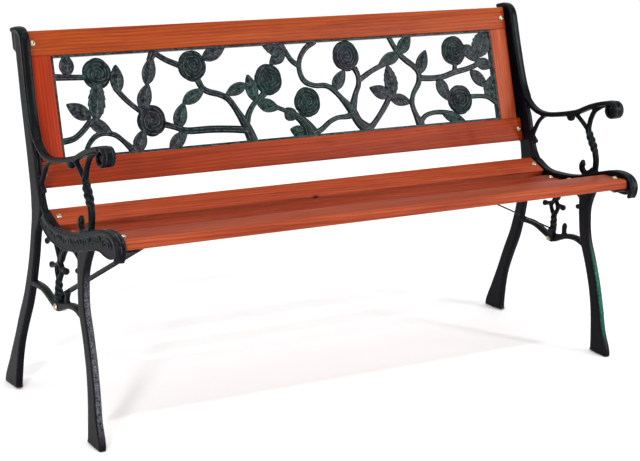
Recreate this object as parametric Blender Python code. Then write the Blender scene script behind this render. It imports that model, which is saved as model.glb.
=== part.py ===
"""Garden bench: two cast iron end frames carry five seat slats and a wooden backrest with a cast rose panel.

Shapes are given in millimetres and placed in metres. Two flat working planes are used:
  side plane   a = back from the front toe, b = up from the ground,
  c = outward from the middle of the casting
  back plane   a = along the bench, b = up the leaning backrest, c = out of its front face
"""

import math

import bmesh
import bpy
import numpy as np
from mathutils import Matrix, Vector

MM = 0.001
SIGN = {"left": -1, "right": 1}
STEPS = 2  # pieces that each span of a curve is cut into

# End frames
FRAME_X = 621.0  # middle of the casting at the ground, from the middle of the bench
LEAN = 0.024  # how far the castings lean inward for each millimetre of height
MID_DEPTH = 202.8  # middle of the bench's depth, back from the front toe
LEG_HALF = 7.5  # half thickness of the legs and the upright
RIM = 11.0  # thickness of the rim along the seat, the loop, the arm and the upright
SEAT_HALF = 9.5  # half widths of that rim
LOOP_HALF = 6.5
ARM_HALF = 8.0
UPRIGHT_HALF = 10.0
STRETCHER_HALF = 7.2
PLATE_OUT = 8.5  # outer face of the seat rail plate
LEDGE_IN = -42.0  # inner edge of the ledge and flange that carry the wood
LEDGE = 5.0
ORNAMENT_HALF = 4.5

# Wood
SLAT = 18.0
NOSE_SLAT = 20.0
SLAT_END = 600.5
RAIL = 15.0
CHAMFER = 2.5
GAP = 0.3  # clearance wherever two pieces meet

# Backrest plane
BACK_Y = 340.0
BACK_Z = 482.0
BACK_LEAN = math.radians(18.2)
OPENING_HALF = 541.0  # the clear opening of the rose panel
OPENING_TOP = 196.0
PANEL_RIM = 4.5
PANEL_FRONT = -1.0
PANEL_BACK = -15.0
LEAF_BACK = -9.0
LEAF_FRONT = -4.0
LEAF_RIB = -1.2
STEM_BACK = -8.4
STEM_FRONT = -2.8
ROSE_BACK = -10.0

# Fasteners
SHANK = 3.0
HOLE = 3.4
HEAD = 5.9
NUT_HALF = 5.0
NUT_HIGH = 5.0
BOLT_SIDES = 10
SEAT_BOLT_X = 590.0

# Slats from front to back: depth and height of the middle of the top, tilt in degrees, width, thickness and
# the place of the bolt across the slat
SLATS = {
    "front": (6.0, 412.0, -4.0, 76.0, NOSE_SLAT, -10.0),
    "2": (81.0, 392.0, -17.0, 52.0, SLAT, 0.0),
    "3": (142.0, 376.0, -12.0, 52.0, SLAT, 0.0),
    "4": (204.0, 367.0, 0.0, 52.0, SLAT, 0.0),
    "back": (266.0, 385.0, 22.0, 52.0, SLAT, 0.0),
}
# Backrest rails: lower and upper edge on the backrest plane, half length, and the place of the bolts
# along them
TOP_RAIL = (OPENING_TOP + PANEL_RIM + GAP, 251.0, 591.0, 582.0)
BOTTOM_RAIL = (-57.0, -PANEL_RIM - GAP, 600.5, 592.0)
STILE_OUT = 591.0
FLANGE = 4.0

# Side plane curves: depth, height, width
BACK_LEG = [(403.5, 0, 62), (403.5, 12, 58), (394.5, 50, 44), (381, 100, 31), (363.5, 150, 30),
            (343.5, 200, 30), (330.5, 250, 28), (322, 300, 27), (318, 345, 28), (312, 372, 38),
            (311, 400, 46), (324, 440, 38), (337, 480, 38), (352, 520, 35), (366, 560, 36),
            (380, 600, 36), (395, 650, 38), (410.5, 700, 39), (416, 717, 36)]
FRONT_LEG = [(28, 0, 57), (28, 12, 54), (37, 50, 40), (46, 100, 33), (59, 150, 30), (77, 200, 29),
             (98, 250, 29), (106, 300, 30), (106, 335, 36), (98, 382, 56)]
SEAT_RIM = [(-34, 374, 7), (-38, 385, 10), (-39, 398, RIM), (-34, 409, RIM), (-22, 417, RIM),
            (-4, 420, RIM), (20, 418, RIM), (50, 410, RIM), (80, 399, RIM), (110, 388, RIM),
            (140, 380, RIM), (170, 375, RIM), (200, 372, RIM), (228, 372, RIM), (252, 377, RIM),
            (274, 388, RIM)]
# Outer edge of the seat rim at each of its points: it widens round the nose
SEAT_OUT = [12.5, 12.5, 12.5, 12.5, 12, 11.5, 11, 10.5, 10] + 7 * [SEAT_HALF]
LOOP_BACK = [(228, 372, RIM), (252, 377, RIM), (274, 388, RIM), (290, 406, RIM), (301, 430, RIM),
             (310, 457, RIM), (319, 484, RIM), (330, 507, RIM), (341, 528, RIM)]
SEAT_PLATE = [(-33, 394, 26), (-15, 397, 44), (8, 398, 46), (30, 398, 40), (55, 393, 36), (80, 386, 36),
              (110, 376, 36), (140, 368, 36), (170, 363, 36), (200, 361, 35), (228, 361, 33),
              (248, 365, 31), (268, 374, 28), (282, 385, 22)]
ARM = [(48, 567, 9), (72, 560, 10), (100, 550, RIM), (125, 539, RIM), (150, 527, RIM), (175, 519, RIM),
       (200, 512, RIM), (225, 506, RIM), (245, 502, RIM), (265, 500, RIM), (288, 502, RIM),
       (310, 511, RIM), (328, 526, RIM), (342, 549, RIM), (352, 572, RIM)]
UPRIGHT_RIM = [(328, 526, RIM), (342, 549, RIM), (352, 572, RIM), (364, 604, RIM), (380, 652, RIM),
               (395, 700, RIM), (401, 713, RIM), (410, 721, RIM), (424, 724, RIM), (449, 719, 9)]
# Half the breadth of the arm at each of its points: it flares to its rolled end
ARM_OUT = np.array([13.5, 12.5, 10.5, 9.0] + 11 * [ARM_HALF])
ARM_SCROLL = (38, 553, 19.5)
HOOK = [(398, 714), (414, 724), (434, 726), (450, 721), (438, 683), (423, 678), (404, 684)]
STRETCHER = [(98, 234, 13), (125, 241, 12), (145, 241, 12), (165, 237, 12), (185, 230, 14),
             (206, 224, 19), (225, 226, 14), (245, 232, 12), (268, 239, 12), (290, 241, 12),
             (330, 239, 12)]
# Ornaments: half thickness, then the curve
POST = (7.5, [(84, 392, 18), (83, 410, 14), (82, 428, 14), (86, 446, 15), (94, 461, 16), (105, 478, 16),
              (114, 494, 15)])
POST_FRONT_ARM = (5.9, [(114, 492, 13), (111, 508, 11), (107, 522, 11), (98, 538, 11), (82, 550, 11),
                        (70, 556, 10)])
POST_BACK_ARM = (5.6, [(114, 493, 11), (136, 508, 9), (158, 520, 9), (172, 522, 8)])
RAIL_BUD = (5.4, [(90, 408, 14), (102, 399, 13), (115, 396, 14), (125, 402, 15), (127, 412, 14),
                  (124, 420, 9)])
KNOB = (174, 511, 10)
LOOP_BRACE = (5.2, [(238, 503, 7), (263, 495, 8), (281, 481, 9), (292, 463, 10), (301, 444, 10),
                    (307, 428, 6)])
FINIAL = (4.6, [(304, 444, 10), (293, 437, 9), (286, 430, 5)])
ROPE = (6.9, [(210, 232, 15), (210, 245, 17), (210, 262, 17), (210, 282, 16)])
TULIP_FRONT = (5.4, [(210, 276, 13), (201, 288, 9), (198, 300, 9), (209, 314, 12), (202, 328, 10),
                     (195, 350, 10)])
TULIP_BACK = (5.1, [(210, 276, 13), (219, 288, 9), (221, 300, 9), (210, 314, 12), (219, 330, 10),
                    (234, 350, 10)])
TULIP_BUD_FRONT = (4.8, [(199, 299, 13), (188, 301, 11), (178, 300, 6)])
TULIP_BUD_BACK = (4.7, [(219, 302, 11), (233, 299, 10), (245, 296, 12)])
ARCH = (5.7, [(112, 322, 9), (122, 337, 10), (140, 348, 10), (160, 351, 11), (178, 347, 10),
              (191, 334, 9), (200, 316, 8)])
LEG_BUD = (4.4, [(110, 316, 15), (125, 316, 13), (133, 315, 8)])
HANGING_BUD = (4.3, [(248, 353, 12), (260, 345, 11), (269, 337, 12)])
STRETCHER_BUD = (4.2, [(172, 234, 12), (172, 250, 13), (172, 258, 13), (171, 264, 7)])
ORNAMENTS = [POST, POST_FRONT_ARM, POST_BACK_ARM, RAIL_BUD, LOOP_BRACE, FINIAL, ROPE, TULIP_FRONT,
             TULIP_BACK,
             TULIP_BUD_FRONT, TULIP_BUD_BACK, ARCH, LEG_BUD, HANGING_BUD, STRETCHER_BUD]

# Braces: flat straps from the stretchers up to the underside of slat_4
BRACE_BOLT = (208.0, 223.0)  # depth and height where each brace meets its stretcher
BRACE_HALF = 8.0
BRACE_THICK = 3.0
BRACE_FOOT = (216.0, 246.0)  # heights of the upright tab
BRACE_TAB = (380.0, 344.0)  # outer and inner end of the flat tab, from the middle of the bench
SCREW_X = 358.0
SCREW_SHANK = 2.0
SCREW_HEAD = 4.5
SCREW_DEEP = 14.0

# Rose panel, in the back plane. Roses: across, up, radius
ROSES = [(-449, 160, 32), (-340, 58, 33), (-232, 163, 33), (-54, 124, 34), (36, 70, 33), (148, 163, 34),
         (440, 159, 34), (441, 48, 34)]
# Stems: points of across, up, width
STEMS = [
    [(-543, 158, 14), (-515, 156, 12), (-478, 154, 11)],
    [(-543, 30, 13), (-518, 34, 12), (-498, 46, 12), (-474, 68, 13)],
    [(-499, -3, 9), (-486, 20, 10), (-470, 35, 11), (-450, 40, 10), (-426, 35, 11), (-408, 20, 11),
     (-386, -3, 18)],
    [(-414, 130, 12), (-398, 110, 12), (-380, 92, 11), (-360, 76, 11)],
    [(-330, 178, 13), (-316, 199, 20)],
    [(-318, 196, 12), (-292, 179, 12), (-258, 164, 13)],
    [(-312, 48, 13), (-288, 40, 12), (-262, 31, 14), (-210, 30, 15), (-165, 27, 15), (-118, 22, 16)],
    [(-224, 134, 15), (-215, 116, 14), (-200, 107, 13), (-176, 100, 13), (-156, 88, 14), (-139, 62, 15),
     (-122, 30, 22), (-110, -3, 26)],
    [(-120, 36, 16), (-112, 56, 14), (-98, 74, 12), (-84, 84, 12), (-68, 96, 16)],
    [(-112, 118, 7), (-94, 112, 8)],
    [(-46, 66, 10), (-26, 57, 10), (-6, 48, 14), (14, 34, 20), (28, 16, 30), (34, -3, 50)],
    [(-16, 199, 13), (-4, 180, 12), (8, 161, 12), (25, 148, 12)],
    [(72, 199, 14), (46, 184, 12), (29, 162, 12), (25, 138, 12), (34, 115, 13), (58, 104, 11),
     (86, 102, 12),
     (104, 92, 13), (122, 73, 13), (146, 44, 22), (160, 18, 22), (184, -3, 30)],
    [(40, 1, 12), (62, 9, 12), (84, 23, 11), (106, 31, 10), (130, 32, 12), (148, 36, 18)],
    [(166, 136, 15), (173, 118, 13), (171, 98, 13), (160, 78, 14), (147, 44, 22)],
    [(174, 108, 12), (196, 120, 12), (216, 129, 11), (246, 140, 12)],
    [(180, -2, 22), (196, 9, 14), (216, 28, 13), (236, 50, 14), (252, 72, 14)],
    [(266, 199, 13), (276, 179, 13), (286, 162, 13), (304, 145, 14), (324, 130, 14), (335, 114, 14),
     (331, 92, 14),
     (314, 70, 12), (307, 48, 13), (313, 24, 14), (324, -3, 24)],
    [(333, 104, 14), (362, 101, 13), (398, 102, 13), (432, 110, 13), (464, 115, 12), (490, 121, 12),
     (512, 130, 13), (530, 128, 13)],
    [(438, 128, 12), (434, 110, 13)],
    [(326, 8, 14), (340, 19, 11), (362, 24, 10), (388, 23, 11), (414, 18, 12)],
    [(470, 53, 11), (500, 52, 10), (522, 47, 11), (543, 32, 12)],
]
# Leaves: base, tip, width
LEAVES = [
    ((-513, 158), (-512, 203), 31), ((-407, 118), (-406, 176), 29), ((-463, 66), (-449, 150), 36),
    ((-474, 72), (-523, 104), 31), ((-480, 70), (-430, 36), 27), ((-382, -5), (-360, 42), 29),
    ((-360, 80), (-338, 134), 31), ((-342, 130), (-322, 188), 29), ((-284, 36), (-262, 90), 30),
    ((-264, 88), (-210, 114), 28), ((-306, -4), (-262, 32), 28), ((-206, 176), (-150, 198), 30),
    ((-110, 118), (-162, 98), 26), ((-92, 80), (-104, 138), 28), ((-88, 78), (-36, 60), 29),
    ((-2, 34), (-20, 62), 30), ((18, 4), (-15, 16), 26), ((-2, 184), (-60, 200), 36),
    ((-6, 180), (-46, 156), 28),
    ((106, 90), (140, 134), 28), ((290, 160), (232, 140), 28), ((261, 68), (254, 138), 33),
    ((252, 68), (200, 91), 30), ((250, 66), (306, 50), 27), ((288, 160), (324, 200), 30),
    ((336, 112), (361, 165), 29), ((386, 100), (408, 48), 30), ((388, 20), (448, -2), 24),
    ((466, 170), (510, 130), 30), ((506, 140), (532, 202), 46), ((498, 130), (546, 118), 28),
    ((480, 112), (522, 70), 28), ((524, 40), (544, 100), 40),
]


def smooth(points, steps=STEPS):
    """A Catmull-Rom curve through the rows of points."""
    points = np.array(points, float)
    padded = np.vstack([2 * points[0] - points[1], points, 2 * points[-1] - points[-2]])
    rows = []
    for p0, p1, p2, p3 in zip(padded, padded[1:], padded[2:], padded[3:]):
        for t in np.arange(steps) / steps:
            rows.append(0.5 * (2 * p1 + (p2 - p0) * t + (2 * p0 - 5 * p1 + 4 * p2 - p3) * t**2
                               + (3 * p1 - p0 - 3 * p2 + p3) * t**3))
    return np.vstack([rows, points[-1]])


def bar(points, low, high, chamfer=0.0, steps=STEPS):
    """A bar that follows a flat curve, with the width given at each point. Each of low and high is one depth, or
    one at each point of a curve that isn't smoothed."""
    rows = smooth(points, steps)
    low, high = np.broadcast_to(low, len(rows)), np.broadcast_to(high, len(rows))
    along = np.gradient(rows[:, :2], axis=0)
    along /= np.linalg.norm(along, axis=1, keepdims=True)
    across = np.column_stack([-along[:, 1], along[:, 0]])
    if chamfer:
        corners = [(0.5, low + chamfer, 0), (0.5, high - chamfer, 0), (0.5, high, chamfer),
                   (-0.5, high, chamfer),
                   (-0.5, high - chamfer, 0), (-0.5, low + chamfer, 0), (-0.5, low, chamfer),
                   (0.5, low, chamfer)]
    else:
        corners = [(0.5, low, 0), (0.5, high, 0), (-0.5, high, 0), (-0.5, low, 0)]
    points = []
    for index, (centre, side, width) in enumerate(zip(rows[:, :2], across, rows[:, 2])):
        for share, depths, inset in corners:
            offset = share * width - math.copysign(inset, share)
            points.append((*(centre + side * offset), depths[index]))
    ring, last = len(corners), len(rows) - 1
    faces = [(i * ring + j, i * ring + (j + 1) % ring, (i + 1) * ring + (j + 1) % ring, (i + 1) * ring + j)
             for i in range(last) for j in range(ring)]
    faces += [tuple(reversed(range(ring))), tuple(range(last * ring, last * ring + ring))]
    return points, faces


def prism(outline, low, high):
    count = len(outline)
    points = [(a, b, low) for a, b in outline] + [(a, b, high) for a, b in outline]
    faces = [(i, (i + 1) % count, count + (i + 1) % count, count + i) for i in range(count)]
    return points, faces + [tuple(reversed(range(count))), tuple(range(count, 2 * count))]


def turned(centre, profile, sides):
    """A turned shape about the depth axis through centre. The profile runs as radius, depth from axis to axis."""
    points = [(*centre, profile[0][1])]
    rings = profile[1:-1]
    for radius, depth in rings:
        for k in range(sides):
            angle = 2 * math.pi * (k + 0.5) / sides
            points.append((centre[0] + radius * math.cos(angle), centre[1] + radius * math.sin(angle),
                           depth))
    points.append((*centre, profile[-1][1]))
    end = len(points) - 1
    faces = []
    for k in range(sides):
        step = (k + 1) % sides
        faces.append((0, 1 + step, 1 + k))
        for ring in range(len(rings) - 1):
            base = 1 + ring * sides
            faces.append((base + k, base + step, base + sides + step, base + sides + k))
        faces.append((end, end - sides + k, end - sides + step))
    return points, faces


def disc(centre, radius, low, high, sides=16):
    return turned(centre, [(0, low), (radius, low), (radius, high), (0, high)], sides)


def leaf(base, tip, width):
    """A pointed leaf with a raised midrib."""
    base, tip = np.array(base, float), np.array(tip, float)
    along = tip - base
    side = np.array([-along[1], along[0]]) / np.linalg.norm(along)
    stations = [(t, width / 2 * math.sin(math.pi * t**0.85) ** 0.8) for t in (0.14, 0.36, 0.6, 0.84)]
    left = [base + along * t + side * half for t, half in stations]
    right = [base + along * t - side * half for t, half in stations]
    outline = [base, *right, tip, *reversed(left)]
    points = [(*p, LEAF_BACK) for p in outline] + [(*p, LEAF_FRONT) for p in outline]
    points += [(*(base + along * t), LEAF_RIB) for t, _ in stations]
    count, ribs = len(outline), len(stations)
    faces = [(i, (i + 1) % count, count + (i + 1) % count, count + i) for i in range(count)]
    faces.append(tuple(reversed(range(count))))
    first_rib, front = 2 * count, count
    tip_at = front + 1 + ribs
    faces += [(front, front + 1, first_rib), (front, first_rib, 2 * count - 1)]
    for k in range(ribs - 1):
        right_at, left_at = front + 1 + k, 2 * count - 1 - k
        faces.append((right_at, right_at + 1, first_rib + k + 1, first_rib + k))
        faces.append((left_at, first_rib + k, first_rib + k + 1, left_at - 1))
    faces += [(front + ribs, tip_at, first_rib + ribs - 1), (tip_at, tip_at + 1, first_rib + ribs - 1)]
    return points, faces


def ring(half_width, bottom, top, rim, low, high):
    """A rectangular frame. The bounds are those of its clear opening."""
    inner = [(-half_width, bottom), (half_width, bottom), (half_width, top), (-half_width, top)]
    outer = [(a + math.copysign(rim, a), b + (rim if b == top else -rim)) for a, b in inner]
    points = [(*p, depth) for depth in (low, high) for p in outer + inner]
    faces = []
    for k in range(4):
        n = (k + 1) % 4
        faces += [(k, n, 4 + n, 4 + k), (8 + k, 12 + k, 12 + n, 8 + n), (k, 8 + k, 8 + n, n),
                  (4 + k, 4 + n, 12 + n, 12 + k)]
    return points, faces


def joined(pieces):
    """One list of points and faces from several."""
    points, faces = [], []
    for more_points, more_faces in pieces:
        start = len(points)
        points += more_points
        faces += [tuple(start + i for i in face) for face in more_faces]
    return points, faces


def face_out(mesh):
    shape = bmesh.new()
    shape.from_mesh(mesh)
    bmesh.ops.recalc_face_normals(shape, faces=shape.faces)
    shape.to_mesh(mesh)
    shape.free()


def solid(name, pieces, matrix=None):
    """An object made of the pieces as they stand, placed by matrix."""
    mesh = bpy.data.meshes.new(name)
    points, faces = joined(pieces)
    mesh.from_pydata(points, [], faces)
    if matrix:
        mesh.transform(matrix)
    face_out(mesh)
    body = bpy.data.objects.new(name, mesh)
    bpy.context.scene.collection.objects.link(body)
    return body


def combine(body, tool, operation):
    """Joins tool to body, cuts it out or keeps what they share. The tool is removed."""
    modifier = body.modifiers.new(operation, "BOOLEAN")
    modifier.operation = operation
    modifier.solver = "EXACT"
    modifier.use_self = operation == "UNION"
    modifier.object = tool
    bpy.context.view_layer.update()
    evaluated = body.evaluated_get(bpy.context.evaluated_depsgraph_get())
    result = bpy.data.meshes.new_from_object(evaluated)
    body.modifiers.clear()
    body.data = result
    bpy.data.objects.remove(tool)


def fused(name, pieces):
    body = solid(name, pieces[:1])
    combine(body, solid(name + "_rest", pieces[1:]), "UNION")
    return body


def place(body, matrix):
    body.data.transform(matrix)
    face_out(body.data)


def axes(origin, a_axis, b_axis, c_axis):
    """The matrix from millimetres along three axes at an origin to metres in the world."""
    columns = [Vector(axis).to_4d() for axis in (a_axis, b_axis, c_axis)]
    for column in columns:
        column.w = 0
    rows = Matrix([*columns, (*origin, 1)]).transposed()
    return Matrix.Scale(MM, 4) @ rows


def coat(body, colour, metallic, roughness):
    material = bpy.data.materials.new(body.name)
    material.use_nodes = True
    shader = material.node_tree.nodes["Principled BSDF"]
    shader.inputs["Base Color"].default_value = (*colour, 1)
    shader.inputs["Metallic"].default_value = metallic
    shader.inputs["Roughness"].default_value = roughness
    body.data.materials.clear()
    body.data.materials.append(material)


def wooden(body):
    coat(body, (0.42, 0.12, 0.045), 0.0, 0.45)


def cast_iron(body):
    coat(body, (0.022, 0.024, 0.032), 0.4, 0.45)


def steel(body):
    coat(body, (0.6, 0.58, 0.56), 1.0, 0.3)


ALONG = Vector((1, 0, 0))
BACK_UP = Vector((0, math.sin(BACK_LEAN), math.cos(BACK_LEAN)))
BACK_OUT = Vector((0, -math.cos(BACK_LEAN), math.sin(BACK_LEAN)))
BACK_ORIGIN = Vector((0, BACK_Y - MID_DEPTH, BACK_Z))


def slat_axes(slat):
    """The middle of a slat's top, the direction across it and the direction out of it."""
    depth, height, tilt = slat[:3]
    angle = math.radians(tilt)
    across = Vector((0, math.cos(angle), math.sin(angle)))
    out = Vector((0, -math.sin(angle), math.cos(angle)))
    return Vector((0, depth - MID_DEPTH, height)), across, out


def section(low, high, thick, nose=0.0):
    """Outline of a board: chamfered along its edges, or rounded along the low edge with the radius nose."""
    outline = [(high - CHAMFER, 0), (high, -CHAMFER), (high, CHAMFER - thick), (high - CHAMFER, -thick)]
    if not nose:
        return outline + [(low + CHAMFER, -thick), (low, CHAMFER - thick), (low, -CHAMFER),
                          (low + CHAMFER, 0)]
    outline.append((low + nose * 0.6, -thick))
    for degrees in (225, 195, 165, 135, 110):
        angle = math.radians(degrees)
        outline.append((low + nose * (1 + math.cos(angle)), nose * (math.sin(angle) - 1)))
    return outline


def ledge():
    """The strip of the casting that follows the slats from below."""
    top, bottom = [], []
    for slat in SLATS.values():
        middle, across, out = slat_axes(slat)
        half, thick = slat[3] / 2, slat[4]
        for share in (-half, half):
            for line, drop in ((top, GAP), (bottom, GAP + LEDGE)):
                point = middle + across * share - out * (thick + drop)
                line.append((point.y + MID_DEPTH, point.z))
    return prism(top + bottom[::-1], LEDGE_IN, ORNAMENT_HALF)


def flange():
    """The strip of the casting behind the ends of the backrest."""
    corners = []
    for up, out in ((BOTTOM_RAIL[0], 0), (TOP_RAIL[1], 0), (TOP_RAIL[1], -FLANGE),
                    (BOTTOM_RAIL[0], -FLANGE)):
        point = BACK_ORIGIN + BACK_UP * up + BACK_OUT * (out - RAIL - GAP)
        corners.append((point.y + MID_DEPTH, point.z))
    return prism(corners, LEDGE_IN, LEG_HALF - 2.5)


def side_frame(name, side):
    """An end frame: two legs, the seat rail, the arm and the scrollwork between them."""
    pieces = [
        bar(BACK_LEG, -LEG_HALF, LEG_HALF, steps=1),
        bar(FRONT_LEG, -LEG_HALF + 0.2, LEG_HALF - 0.2, steps=1),
        bar(SEAT_RIM, -SEAT_HALF, SEAT_OUT, steps=1),
        bar(LOOP_BACK, -LOOP_HALF, LOOP_HALF, steps=1),
        bar(SEAT_PLATE, 1.0, PLATE_OUT, steps=1),
        bar(ARM, -ARM_OUT, ARM_OUT, steps=1),
        bar(UPRIGHT_RIM, -UPRIGHT_HALF, UPRIGHT_HALF, steps=1),
        bar(STRETCHER, -STRETCHER_HALF, STRETCHER_HALF, steps=1),
        prism(HOOK, -LEG_HALF + 0.9, LEG_HALF - 0.9),
        disc(ARM_SCROLL[:2], ARM_SCROLL[2], -ARM_OUT[0], ARM_OUT[0]),
        disc(KNOB[:2], KNOB[2], -6.8, 6.8, 12),
        ledge(),
        flange(),
    ]
    pieces += [bar(curve, -half, half, chamfer=0.45 * half) for half, curve in ORNAMENTS]
    body = fused(name, pieces)
    place(body, axes((side * FRAME_X, -MID_DEPTH, 0), (0, 1, 0), (-side * LEAN, 0, 1), (side, 0, 0)))
    cast_iron(body)
    return body


def drill(body, matrix, radius, low, high):
    """Cuts a round hole along the depth axis of matrix."""
    combine(body, solid("drill", [disc((0, 0), radius, low, high, BOLT_SIDES)], matrix), "DIFFERENCE")


def carriage_bolt(name, matrix, length):
    """A domed bolt that stands on depth 0 and reaches down by length."""
    profile = [(0, 3.8), (4.4, 3.1), (HEAD, GAP), (SHANK, GAP), (SHANK, -length), (0, -length)]
    steel(solid(name, [turned((0, 0), profile, BOLT_SIDES)], matrix))


def nut(name, matrix, top):
    """A hexagon nut whose upper face is at depth top."""
    points = []
    for depth in (top, top - NUT_HIGH):
        for radius in (SHANK + 0.8, NUT_HALF / math.cos(math.pi / 6)):
            for k in range(6):
                angle = math.pi / 3 * k
                points.append((radius * math.cos(angle), radius * math.sin(angle), depth))
    faces = []
    for k in range(6):
        n = (k + 1) % 6
        faces += [(k, n, 6 + n, 6 + k), (12 + k, 18 + k, 18 + n, 12 + n), (k, 12 + k, 12 + n, n),
                  (6 + k, 6 + n, 18 + n, 18 + k)]
    steel(solid(name, [(points, faces)], matrix))


def through_bolt(name, matrix, bodies, wood, iron):
    """A bolt and nut at matrix, with the hole for them through the bodies."""
    for body in bodies:
        drill(body, matrix, HOLE, -wood - iron - 10, 10)
    carriage_bolt(name.format("bolt"), matrix, wood + iron + NUT_HIGH + 3 * GAP + 1.5)
    nut(name.format("nut"), matrix, -wood - iron - 2 * GAP)


def seat(frames):
    """The five slats, each bolted at both ends to the ledges of the frames."""
    slats = {}
    for label, slat in SLATS.items():
        width, thick, bolt = slat[3:]
        middle, across, out = slat_axes(slat)
        outline = section(-width / 2, width / 2, thick, nose=9.0 if label == "front" else 0.0)
        board = solid("seat_slat_" + label, [prism(outline, -SLAT_END, SLAT_END)],
                      axes(middle, across, out, ALONG))
        for side, frame in frames.items():
            centre = middle + ALONG * SIGN[side] * SEAT_BOLT_X + across * bolt
            through_bolt("seat_{}_" + side + "_" + label, axes(centre, ALONG, across, out), (board, frame),
                         thick,
                         LEDGE)
        wooden(board)
        slats[label] = board
    return slats


def backrest(frames):
    """Two rails bolted to the flanges of the frames, two stiles and the rose panel between them."""
    for label, (low, high, end, bolt) in (("top", TOP_RAIL), ("bottom", BOTTOM_RAIL)):
        board = solid(f"backrest_{label}_rail", [prism(section(low, high, RAIL), -end, end)],
                      axes(BACK_ORIGIN, BACK_UP, BACK_OUT, ALONG))
        for side, frame in frames.items():
            centre = BACK_ORIGIN + BACK_UP * (low + high) / 2 + ALONG * SIGN[side] * bolt
            through_bolt("back_{}_" + side + "_" + label, axes(centre, ALONG, BACK_UP, BACK_OUT),
                         (board, frame),
                         RAIL, FLANGE)
        wooden(board)
    inner = OPENING_HALF + PANEL_RIM + GAP
    for side, sign in SIGN.items():
        outline = [(sign * along, out) for along, out in section(inner, STILE_OUT, RAIL)]
        stile = prism(outline, BOTTOM_RAIL[1] + GAP, TOP_RAIL[0] - GAP)
        wooden(solid(f"backrest_{side}_stile", [stile], axes(BACK_ORIGIN, ALONG, BACK_OUT, BACK_UP)))


def rose(across, up, radius):
    """A rose as rings of petals, each ring higher than the one outside it."""
    profile = [(0, ROSE_BACK), (radius, ROSE_BACK), (radius, -5.0), (0.86 * radius, -2.0),
               (0.6 * radius, -3.4),
               (0.54 * radius, 0.6), (0.3 * radius, -0.8), (0.2 * radius, 2.4), (0, 1.4)]
    return turned((across, up), profile, 16)


def rose_panel():
    """A casting with a plain rim, filled with roses and leaves on crossing stems."""
    pieces = [leaf(*shape) for shape in LEAVES] + [rose(*shape) for shape in ROSES]
    for index, curve in enumerate(STEMS):
        pieces.append(bar(curve, STEM_BACK + 0.1 * (index % 3), STEM_FRONT - 0.17 * (index % 5), steps=1))
    body = fused("rose_panel", pieces)
    margin = PANEL_RIM - 0.5
    room = prism([(-OPENING_HALF - margin, -margin), (OPENING_HALF + margin, -margin),
                  (OPENING_HALF + margin, OPENING_TOP + margin),
                  (-OPENING_HALF - margin, OPENING_TOP + margin)],
                 -30, 30)
    combine(body, solid("room", [room]), "INTERSECT")
    rim = ring(OPENING_HALF, 0, OPENING_TOP, PANEL_RIM, PANEL_BACK, PANEL_FRONT)
    combine(body, solid("rim", [rim]), "UNION")
    place(body, axes(BACK_ORIGIN, ALONG, BACK_UP, BACK_OUT))
    cast_iron(body)


def brace(side, frame, slat):
    """A strap bolted to the inner face of a stretcher and screwed to the underside of a slat."""
    sign = SIGN[side]
    depth, height = BRACE_BOLT[0] - MID_DEPTH, BRACE_BOLT[1]
    face = FRAME_X - LEAN * BRACE_FOOT[1] - STRETCHER_HALF - GAP
    foot = face - BRACE_THICK / 2
    under = SLATS["4"][1] - SLATS["4"][4] - GAP
    top = under - BRACE_THICK / 2
    path = [(foot, BRACE_FOOT[0], BRACE_THICK), (foot, BRACE_FOOT[1], BRACE_THICK),
            (BRACE_TAB[0], top, BRACE_THICK), (BRACE_TAB[1], top, BRACE_THICK)]
    body = solid(f"{side}_brace", [bar(path, -BRACE_HALF, BRACE_HALF, steps=1)],
                 axes((0, depth, 0), (sign, 0, 0), (0, 0, 1), (0, 1, 0)))
    outer = sign * (FRAME_X - LEAN * height + STRETCHER_HALF)
    spot = axes((outer, depth, height), (0, 1, 0), (0, 0, 1), (sign, 0, 0))
    through_bolt("brace_{}_" + side, spot, (body, frame), 2 * STRETCHER_HALF + 2 * GAP, BRACE_THICK)
    screw = axes((sign * SCREW_X, depth, under - BRACE_THICK), (1, 0, 0), (0, 1, 0), (0, 0, -1))
    drill(body, screw, SCREW_SHANK + 0.4, -BRACE_THICK - 3, 3)
    drill(slat, screw, SCREW_SHANK + 0.4, -SCREW_DEEP - BRACE_THICK, -BRACE_THICK + 3)
    profile = [(0, 3.0), (SCREW_HEAD * 0.7, 2.6), (SCREW_HEAD, GAP), (SCREW_SHANK, GAP),
               (SCREW_SHANK, 1 - SCREW_DEEP), (0, 1 - SCREW_DEEP)]
    steel(solid(f"brace_screw_{side}", [turned((0, 0), profile, BOLT_SIDES)], screw))
    coat(body, (0.05, 0.05, 0.055), 0.6, 0.5)


def main():
    for old in list(bpy.data.objects):
        bpy.data.objects.remove(old)
    frames = {side: side_frame(side + "_side_frame", sign) for side, sign in SIGN.items()}
    slats = seat(frames)
    backrest(frames)
    rose_panel()
    for side, frame in frames.items():
        brace(side, frame, slats["4"])


main()
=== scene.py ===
import math

import bmesh
import bpy
import numpy as np
from mathutils import Matrix, Vector


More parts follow.
